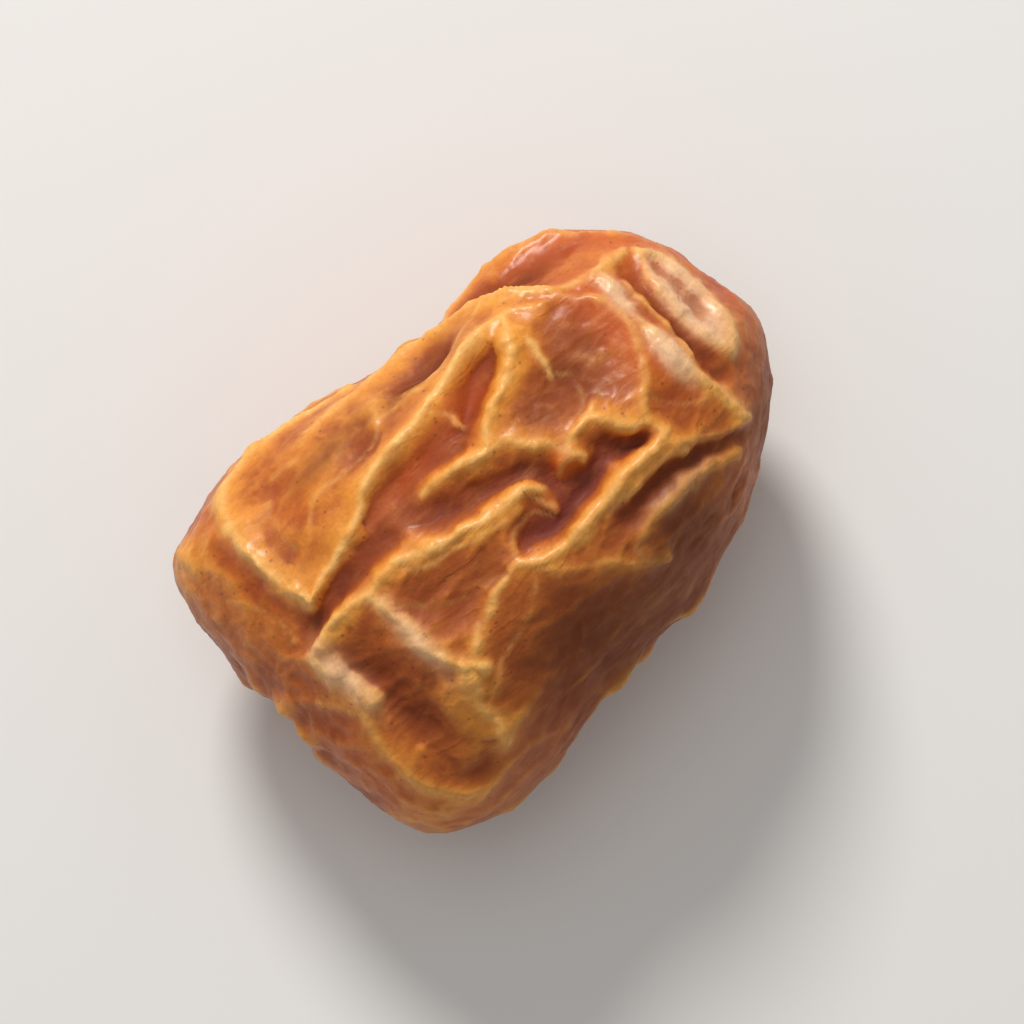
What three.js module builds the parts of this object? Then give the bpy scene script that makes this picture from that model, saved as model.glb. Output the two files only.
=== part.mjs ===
// A ripe date lying on its side: one whole fruit whose loose skin has shrunk into folds over the flesh.
// Millimetres, +Z up. X runs along the fruit, from the blunt stem end at -X to the narrower tip at +X.
// The origin is under the middle of the fruit, on the flat spot that it rests on.
import * as THREE from "three";
import { mergeVertices } from "three/addons/utils/BufferGeometryUtils.js";

// ---- Driving dimensions of the smooth form ----
const TOP_HEIGHT = 11.4; // girth line to the top
const UNDER_HEIGHT = 11.1; // girth line to the underside, before it is pressed flat
const PRESSED = 0.5; // how much of the underside the flat spot takes away
const TOP_POWER = 2.35; // superellipse power of a cut across the upper half
const UNDER_POWER = 2.05; // and across the lower half
const GIRTH = [19.2, 12.6]; // the plain ellipse that the outline comes near to: half-length and half-width
const EASING = 0.8; // how far the outline has turned into that ellipse at the very top and bottom

// The outline seen from above, as a closed curve through these points.
const OUTLINE = [
  [19.8, -1.6], [19.2, 2], [17.9, 6.8], [15, 9.9], [10.9, 11.8], [7, 11.7], [3.8, 11.2], [-2, 11.9],
  [-7, 13], [-11.2, 13.7], [-15.4, 12.9], [-18.6, 11.6], [-20, 7], [-19.9, -1], [-19.4, -8], [-17.7, -11.9],
  [-13.4, -13.8], [-9.3, -13.8], [-3, -12.3], [3.2, -11.9], [8, -11], [13.4, -8.7], [17.3, -5.7],
];

// ---- The skin ----
const SKIN_REST = -0.7; // where the skin lies between folds, against the smooth form
const FOLD_REACH = 1.2; // how far from a crest the skin has sunk most of the way
const FADE_ABOVE_FLAT = 2.6; // folds die out this close to the flat spot
const ROUNDING_PASSES = 1; // how often the relief is averaged with its neighbours
const GRID = [38, 26, 20]; // faces along, across and up the fruit

// Folds on the upper side, seen from above. Each is a crest line of [x, y, height above the smooth form].
const UPPER_FOLDS = {
  panelRim: [
    [-2.5, 11.7, 0.3], [-6, 12.2, 0.4], [-10, 12.7, 0.4], [-12.8, 12.1, 0.6],
    [-13.9, 10.4, 0.9], [-13.7, 7.2, 1.1], [-13.2, 3.4, 1],
  ],
  panelCrease: [[-11.2, 8.4, -0.2], [-11.1, 10, 0], [-10.2, 10.7, 0], [-7.2, 10.6, 0]],
  longCrest: [
    [-13, 2.9, 0.5], [-10, 4.4, 0.4], [-7.5, 5.7, 0.5], [-6.1, 6.6, 0.8], [-2.8, 6.9, 1],
    [0.3, 7.6, 1], [1.7, 8.2, 0.9], [5, 8.7, 0.8], [7.5, 8.6, 0.4],
  ],
  shoulder: [
    [-7, 12.3, 0.4], [-5.8, 10.8, 0.6], [0, 10.7, 0.8], [5.6, 10.4, 0.7],
    [7.2, 9.9, 0.6], [9.2, 8.9, 0.5], [11.5, 7.5, 0.6], [14, 6.8, 0.5],
  ],
  shoulderRim: [
    [4.6, 10.7, 0.4], [7.8, 11.4, 0.6], [11.7, 10.8, 0.6], [13.6, 9.4, 0.6], [15, 7.8, 0.6], [15.4, 6.4, 0.4],
  ],
  hook: [
    [-4.2, 3.8, 0.2], [-2.8, 3.7, 0.6], [-1.7, 3.3, 0.7], [0.6, 2.8, 0.8], [1.4, 3.6, 0.8],
    [4.2, 5.1, 0.8], [5.8, 6, 0.9], [6.4, 7.4, 0.9], [7, 8.6, 0.6],
  ],
  hookBranch: [[0.6, 2.8, 0.8], [1.9, 2.5, 0.8], [2.8, 1.7, 0.8], [3.6, 0.6, 0.8], [4.4, -0.8, 0.7]],
  hollowRim: [[4, 0, 0.8], [5.6, 0.3, 0.7], [6.9, 0.8, 0.6], [8.2, 1.5, 0.2]],
  hollowBridge: [[6.3, 0.4, 0.5], [7, -0.5, 0.6], [7.8, -1.3, 0.8], [8.7, -2.2, 0.9]],
  middleCrest: [
    [-15.4, 1, 0.9], [-13, 1.7, 1], [-7.8, 1.7, 0.9], [-5.6, 0.8, 0.8],
    [-2.2, 0, 0.8], [-0.6, -0.3, 0.7], [0.8, -0.8, 0.2],
  ],
  stemFold: [
    [-15.4, 1, 0.9], [-14.8, -0.6, 0.9], [-14.7, -3.6, 0.6], [-15.2, -6, 0.4],
    [-15.1, -9.2, 0.4], [-13.8, -11, 0.4], [-11.8, -11.6, 0.4],
  ],
  paleFold: [
    [-12, 0.9, 0.6], [-10.6, 0.4, 0.6], [-10, -1, 0.8], [-9.9, -4.2, 0.9], [-9.2, -5.6, 0.8], [-8, -6.6, 0.7],
  ],
  paleFoldFoot: [[-9.2, -5.6, 0.8], [-9.9, -7, 0.7], [-10.3, -8.5, 0.7], [-10.4, -10.8, 0.5]],
  lowerCrest: [
    [-8, -6.6, 0.7], [-5.6, -5.6, 0.5], [-4.2, -4.4, 0.5], [-2.2, -3.5, 0.8],
    [0.6, -4.3, 0.9], [3.9, -3.8, 0.9], [8.8, -3.3, 1],
  ],
  flankBranch: [[-2.2, -3.5, 0.8], [0, -5.8, 0.6], [1.7, -7.2, 0.6], [3, -8.5, 0.6], [4.3, -9, 0.4]],
  tipBranch: [[8.8, -3.3, 1], [9.6, -4.1, 0.8], [11.1, -4.8, 0.7], [13.8, -5.8, 0.5]],
  flankFold: [
    [3.2, -8.5, 0.5], [4.4, -7.8, 0.6], [5.6, -6.6, 0.6], [7.2, -6.2, 0.7],
    [9.2, -6.4, 0.8], [11.1, -7.1, 0.6], [12.6, -7.9, 0.3],
  ],
  ring: [
    [10.2, 7.4, 0.5], [11.4, 6.1, 0.7], [11.9, 3.9, 0.9], [11.7, 2.2, 0.9],
    [11, 0.6, 0.9], [10, -0.8, 0.9], [8.8, -1.8, 1], [8.8, -3.3, 1],
  ],
  innerCrossFold: [
    [13.7, 5.7, 0.4], [13.1, 4.4, 0.6], [12.7, 1.1, 0.7], [13.1, -1.9, 0.6], [13.7, -5.6, 0.5],
  ],
  outerCrossFold: [[15.6, 5.8, 0.4], [16.2, 3, 0.9], [16.2, 0, 0.9], [15.8, -2.6, 0.5]],
};

// Hollows on the upper side: [x, y, half-length, half-width, turn in degrees, depth below the resting skin].
const UPPER_HOLLOWS = [
  [7.3, 3.4, 3.2, 2.2, 0, 0.5],
  [-1.5, 1.8, 3.5, 0.8, -10, 0.4],
  [4.5, -2.2, 3.5, 0.8, 8, 0.7],
  [0, -2.5, 1.3, 1, 0, 0.5],
  [-11.5, 2.7, 3.5, 0.6, 12, 0.6],
  [-13, -6, 3.5, 1.2, 90, 0.9],
  [6.5, -8.8, 2, 1.5, 0, 0.5],
  [9.5, 10.2, 2.5, 0.6, -15, 0.4],
  [14.4, 1.5, 3.5, 0.5, 90, 0.4],
  [-14.9, 7, 3.5, 0.6, 90, 0.4],
];

// Folds that run lengthwise round the flanks and the underside.
const LENGTHWISE = {
  count: 11,
  firstTurn: 84, // degrees round the fruit from the top
  lastTurn: 276,
  from: -17.2,
  to: 17,
  steps: 60,
  sway: 5.5, // degrees
  height: 0.5,
};

// The stem scar, a shallow round dimple with a lip, in the middle of the blunt end.
const SCAR = { radius: 2.5, depth: 1, lip: 0.35, y: -0.4, z: 0.4 };

const smooth = (t) => THREE.MathUtils.smoothstep(t, 0, 1);
const { lerp, degToRad } = THREE.MathUtils;

// ---- The smooth form: the outline from above, rounded over and under by superellipses ----
const outlinePoints = OUTLINE.map(([x, y]) => new THREE.Vector3(x, y, 0));
const outline = new THREE.CatmullRomCurve3(outlinePoints, true, "centripetal")
  .getSpacedPoints(720)
  .map((p) => ({ angle: Math.atan2(p.y, p.x), radius: Math.hypot(p.x, p.y) }))
  .sort((a, b) => a.angle - b.angle);
function outlineRadius(angle) {
  let low = 0;
  let high = outline.length - 1;
  if (angle <= outline[low].angle || angle >= outline[high].angle) return outline[low].radius;
  while (high - low > 1) {
    const between = (low + high) >> 1;
    if (outline[between].angle <= angle) low = between;
    else high = between;
  }
  const share = (angle - outline[low].angle) / (outline[high].angle - outline[low].angle || 1);
  return lerp(outline[low].radius, outline[high].radius, share);
}
// How far the form reaches at a height, given as a share of the full height, in a direction seen from above.
function reachAt(angle, share, power) {
  const ellipse = 1 / Math.hypot(Math.cos(angle) / GIRTH[0], Math.sin(angle) / GIRTH[1]);
  return lerp(outlineRadius(angle), ellipse, EASING * share ** 2) * (1 - share ** power) ** (1 / power);
}
// The point of the form in a direction of the unit sphere.
function formPoint(direction) {
  const power = direction.z > 0 ? TOP_POWER : UNDER_POWER;
  const height = direction.z > 0 ? TOP_HEIGHT : UNDER_HEIGHT;
  const level = Math.hypot(direction.x, direction.y);
  const up = Math.abs(direction.z);
  const share = Math.min(1, up * (level ** power + up ** power) ** (-1 / power));
  const angle = Math.atan2(direction.y * GIRTH[1], direction.x * GIRTH[0]);
  const reach = reachAt(angle, share, power);
  const z = Math.sign(direction.z) * height * share;
  return new THREE.Vector3(reach * Math.cos(angle), reach * Math.sin(angle), z);
}
// The point of the upper half that lies at (x, y) seen from above, found by halving.
function onTop(x, y) {
  const angle = Math.atan2(y, x);
  let low = 0;
  let high = 1;
  for (let i = 0; i < 16; i++) {
    const between = (low + high) / 2;
    if (reachAt(angle, between, TOP_POWER) > Math.hypot(x, y)) low = between;
    else high = between;
  }
  return new THREE.Vector3(x, y, TOP_HEIGHT * low);
}

// ---- Crest lines on the form, each a list of { at, height } a fraction of a millimetre apart ----
const CREST_STEP = 0.5;
function crestLine(points) {
  const curve = new THREE.CatmullRomCurve3(points.map((p) => new THREE.Vector3(...p)), false, "centripetal");
  const steps = Math.ceil(curve.getLength() / CREST_STEP);
  return curve.getSpacedPoints(steps).map((p) => ({ at: onTop(p.x, p.y), height: p.z }));
}
function lengthwiseFold(number) {
  const { count, firstTurn, lastTurn, from, to, steps, sway, height } = LENGTHWISE;
  const turn = lerp(firstTurn, lastTurn, number / (count - 1));
  const start = from + 1.5 * (1 + Math.sin(2.3 * number));
  const stop = to - 2 * (1 + Math.sin(1.7 * number + 1));
  const fold = [];
  for (let i = 0; i <= steps; i++) {
    const x = lerp(start, stop, i / steps);
    const wander = sway * (Math.sin(0.42 * x + 2.1 * number) + 0.45 * Math.sin(1.1 * x + 3.7 * number));
    const angle = degToRad(turn + wander);
    const along = x / GIRTH[0];
    const round = Math.sqrt(1 - along * along);
    const direction = new THREE.Vector3(along, round * Math.sin(angle), round * Math.cos(angle));
    const strength = Math.sin((Math.PI * i) / steps) * (0.75 + 0.25 * Math.sin(0.9 * x + number));
    fold.push({ at: formPoint(direction), height: lerp(SKIN_REST, height, Math.sqrt(Math.abs(strength))) });
  }
  return fold;
}
const crests = Object.values(UPPER_FOLDS).flatMap(crestLine);
for (let number = 0; number < LENGTHWISE.count; number++) crests.push(...lengthwiseFold(number));

// ---- How far the skin stands off the smooth form at a point of it ----
function hollowDepth(point) {
  if (point.z < 0) return 0;
  const centre = new THREE.Vector2();
  let deepest = 0;
  for (const [x, y, long, wide, turn, depth] of UPPER_HOLLOWS) {
    const away = new THREE.Vector2(point.x - x, point.y - y).rotateAround(centre, -degToRad(turn));
    deepest = Math.max(deepest, depth * Math.exp(-((away.x / long) ** 2) - (away.y / wide) ** 2));
  }
  return deepest;
}
function foldRelief(point) {
  const rest = SKIN_REST - hollowDepth(point);
  let stand = rest;
  for (const { at, height } of crests) {
    const away = at.distanceTo(point);
    stand = Math.max(stand, rest + (height - rest) * Math.exp(-away / FOLD_REACH));
  }
  return stand;
}
function scarRelief(point) {
  if (point.x > 0) return 0;
  const away = Math.hypot(point.y - SCAR.y, point.z - SCAR.z) / SCAR.radius;
  return SCAR.lip * Math.exp(-(((away - 1.25) / 0.35) ** 2)) - SCAR.depth * Math.exp(-(away ** 3));
}

// ---- Build: a box grid blown up on to the form, folded, and pressed flat underneath ----
const floorZ = PRESSED - UNDER_HEIGHT;
const box = new THREE.BoxGeometry(2, 2, 2, ...GRID);
box.deleteAttribute("normal");
box.deleteAttribute("uv");
const geometry = mergeVertices(box);
const index = geometry.getIndex();
const position = geometry.getAttribute("position");
const spread = (t) => Math.tan((t * Math.PI) / 4); // evens out the faces from a side's middle to its corners
const form = [];
for (let i = 0; i < position.count; i++) {
  const corner = new THREE.Vector3().fromBufferAttribute(position, i).toArray().map(spread);
  form.push(formPoint(new THREE.Vector3(...corner).normalize()));
  position.setXYZ(i, ...form[i]);
}
geometry.computeVertexNormals();
const normal = geometry.getAttribute("normal");

// Relief at every vertex, rounded a little by its neighbours.
let relief = form.map(foldRelief);
for (let pass = 0; pass < ROUNDING_PASSES; pass++) {
  const sum = relief.map((value) => value * 6);
  const weight = relief.map(() => 6);
  for (let i = 0; i < index.count; i++) {
    const here = index.getX(i);
    const next = index.getX(i % 3 === 2 ? i - 2 : i + 1);
    sum[here] += relief[next];
    weight[here] += 1;
  }
  relief = sum.map((value, i) => value / weight[i]);
}
form.forEach((point, i) => {
  const fade = smooth((point.z - floorZ) / FADE_ABOVE_FLAT);
  const stand = relief[i] * fade + scarRelief(point);
  point.addScaledVector(new THREE.Vector3().fromBufferAttribute(normal, i), stand);
  point.z = Math.max(point.z, floorZ);
  position.setXYZ(i, ...point);
});

// Each four-cornered face is split along whichever diagonal keeps the fold's crest.
for (let i = 0; i < index.count; i += 6) {
  const [a, b, d, c] = [0, 1, 2, 4].map((corner) => index.getX(i + corner));
  if (relief[a] + relief[c] > relief[b] + relief[d]) {
    [a, b, c, a, c, d].forEach((corner, k) => index.setX(i + k, corner));
  }
}
geometry.deleteAttribute("normal");
geometry.computeBoundingBox();
const middle = geometry.boundingBox.getCenter(new THREE.Vector3());
geometry.translate(-middle.x, -middle.y, -floorZ);

const skin = new THREE.MeshStandardMaterial({ color: 0xb8682a, roughness: 0.5, metalness: 0 });
const fruit = new THREE.Mesh(geometry, skin);
fruit.name = "date_fruit";

const date = new THREE.Group();
date.add(fruit);
export default date;
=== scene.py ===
import math
from functools import partial

import bpy
import numpy as np
from mathutils import Matrix, Vector, noise
from mathutils.kdtree import KDTree


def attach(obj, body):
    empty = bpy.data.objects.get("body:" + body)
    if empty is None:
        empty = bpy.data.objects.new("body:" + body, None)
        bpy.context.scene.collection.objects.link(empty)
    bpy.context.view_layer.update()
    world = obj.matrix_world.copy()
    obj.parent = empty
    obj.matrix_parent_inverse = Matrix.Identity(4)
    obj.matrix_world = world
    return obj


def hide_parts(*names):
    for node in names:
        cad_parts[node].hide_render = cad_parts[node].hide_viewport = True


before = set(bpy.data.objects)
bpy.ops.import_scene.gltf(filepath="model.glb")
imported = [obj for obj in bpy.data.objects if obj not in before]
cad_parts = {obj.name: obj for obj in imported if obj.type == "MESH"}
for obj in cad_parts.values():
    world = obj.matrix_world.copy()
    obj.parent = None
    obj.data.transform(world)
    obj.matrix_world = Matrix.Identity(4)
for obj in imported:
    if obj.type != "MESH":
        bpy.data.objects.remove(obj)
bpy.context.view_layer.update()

# ======================================================================================================
# THE FRUIT. One whole ripe date lying on its side, grown in one piece: thin tough skin over soft flesh.
# As the flesh dried and shrank, the skin stayed too big for it, so it stands up in sharp creases with
# sunken panels between them. Sizes here are in millimetres from the middle of the fruit at its girth.
# ======================================================================================================

# ---- The plump form under the creases ----
TOP_HEIGHT = 11.15
UNDER_HEIGHT = 11.1
PRESSED_FLAT = 0.5  # how much of the underside the fruit's own weight flattens
TOP_POWER = 2.35  # 2 makes a round crown, more makes a squarer one
UNDER_POWER = 2.05
GIRTH = (19.2, 12.6)
EASING = 0.8  # how far the outline turns into a plain oval towards the top and the underside
FLOOR_LEVEL = PRESSED_FLAT - UNDER_HEIGHT

# The outline seen from above.
outline = [
    (19.8, -1.6), (19.2, 2), (17.9, 6.8), (15, 9.9), (10.9, 11.8), (7, 11.7), (3.8, 11.2), (-2, 11.9),
    (-7, 13), (-11.2, 13.7), (-15.4, 12.9), (-18.6, 11.6), (-20, 7), (-19.9, -1), (-19.4, -8),
    (-17.7, -11.9), (-13.4, -13.8), (-9.3, -13.8), (-3, -12.3), (3.2, -11.9), (8, -11), (13.4, -8.7),
    (17.3, -5.7),
]


def flowing_line(points, step, closed=False):
    """A smooth line through the points, as points about one step apart."""
    p = np.array(points, float)
    if closed:
        p = np.vstack([p[-1:], p, p[:2]])
    else:
        p = np.vstack([2 * p[:1] - p[1:2], p, 2 * p[-1:] - p[-2:-1]])
    out = []
    for a, b, c, d in zip(p[:-3], p[1:-2], p[2:-1], p[3:]):
        t0 = 0.0
        t1 = t0 + np.linalg.norm(b - a) ** 0.5
        t2 = t1 + np.linalg.norm(c - b) ** 0.5
        t3 = t2 + np.linalg.norm(d - c) ** 0.5
        pieces = max(1, int(np.linalg.norm(c - b) / step))
        t = np.linspace(t1, t2, pieces, endpoint=False)[:, None]
        ab = (t1 - t) / (t1 - t0) * a + (t - t0) / (t1 - t0) * b
        bc = (t2 - t) / (t2 - t1) * b + (t - t1) / (t2 - t1) * c
        cd = (t3 - t) / (t3 - t2) * c + (t - t2) / (t3 - t2) * d
        abc = (t2 - t) / (t2 - t0) * ab + (t - t0) / (t2 - t0) * bc
        bcd = (t3 - t) / (t3 - t1) * bc + (t - t1) / (t3 - t1) * cd
        out.append((t2 - t) / (t2 - t1) * abc + (t - t1) / (t2 - t1) * bcd)
    out.append(p[-2:-1])
    return np.vstack(out)


def smooth(t):
    """From 0 to 1 with a soft start and a soft stop."""
    t = np.clip(t, 0, 1)
    return t * t * (3 - 2 * t)


RIM_STEP = 0.1
rim = flowing_line(outline, RIM_STEP, closed=True)
rim_angle = np.arctan2(rim[:, 1], rim[:, 0])
rim_order = np.argsort(rim_angle)
rim_angle = rim_angle[rim_order]
rim_radius = np.hypot(rim[:, 0], rim[:, 1])[rim_order]


def reach_at(angle, share, power):
    """How far the form reaches at a share of its height, in a direction seen from above."""
    ellipse = 1 / np.hypot(np.cos(angle) / GIRTH[0], np.sin(angle) / GIRTH[1])
    outline_reach = np.interp(angle, rim_angle, rim_radius, period=2 * math.pi)
    eased = outline_reach + (ellipse - outline_reach) * EASING * share ** 2
    return eased * np.maximum(0, 1 - share ** power) ** (1 / power)


def form_point(direction):
    """Where the plump form lies in each direction from its middle."""
    upper = direction[:, 2] > 0
    power = np.where(upper, TOP_POWER, UNDER_POWER)
    height = np.where(upper, TOP_HEIGHT, -UNDER_HEIGHT)
    level = np.hypot(direction[:, 0], direction[:, 1])
    up = np.abs(direction[:, 2])
    share = np.minimum(1, up * (level ** power + up ** power) ** (-1 / power))
    angle = np.arctan2(direction[:, 1] * GIRTH[1], direction[:, 0] * GIRTH[0])
    reach = reach_at(angle, share, power)
    return np.column_stack([reach * np.cos(angle), reach * np.sin(angle), height * share])


def on_top(x, y):
    """The point of the form's upper half at x, y seen from above, found by halving."""
    angle = np.arctan2(y, x)
    out = np.hypot(x, y)
    low = np.zeros_like(out)
    high = np.ones_like(out)
    for _ in range(20):
        between = (low + high) / 2
        inside = reach_at(angle, between, TOP_POWER) > out
        low = np.where(inside, between, low)
        high = np.where(inside, high, between)
    return np.column_stack([x, y, TOP_HEIGHT * low])


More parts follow.
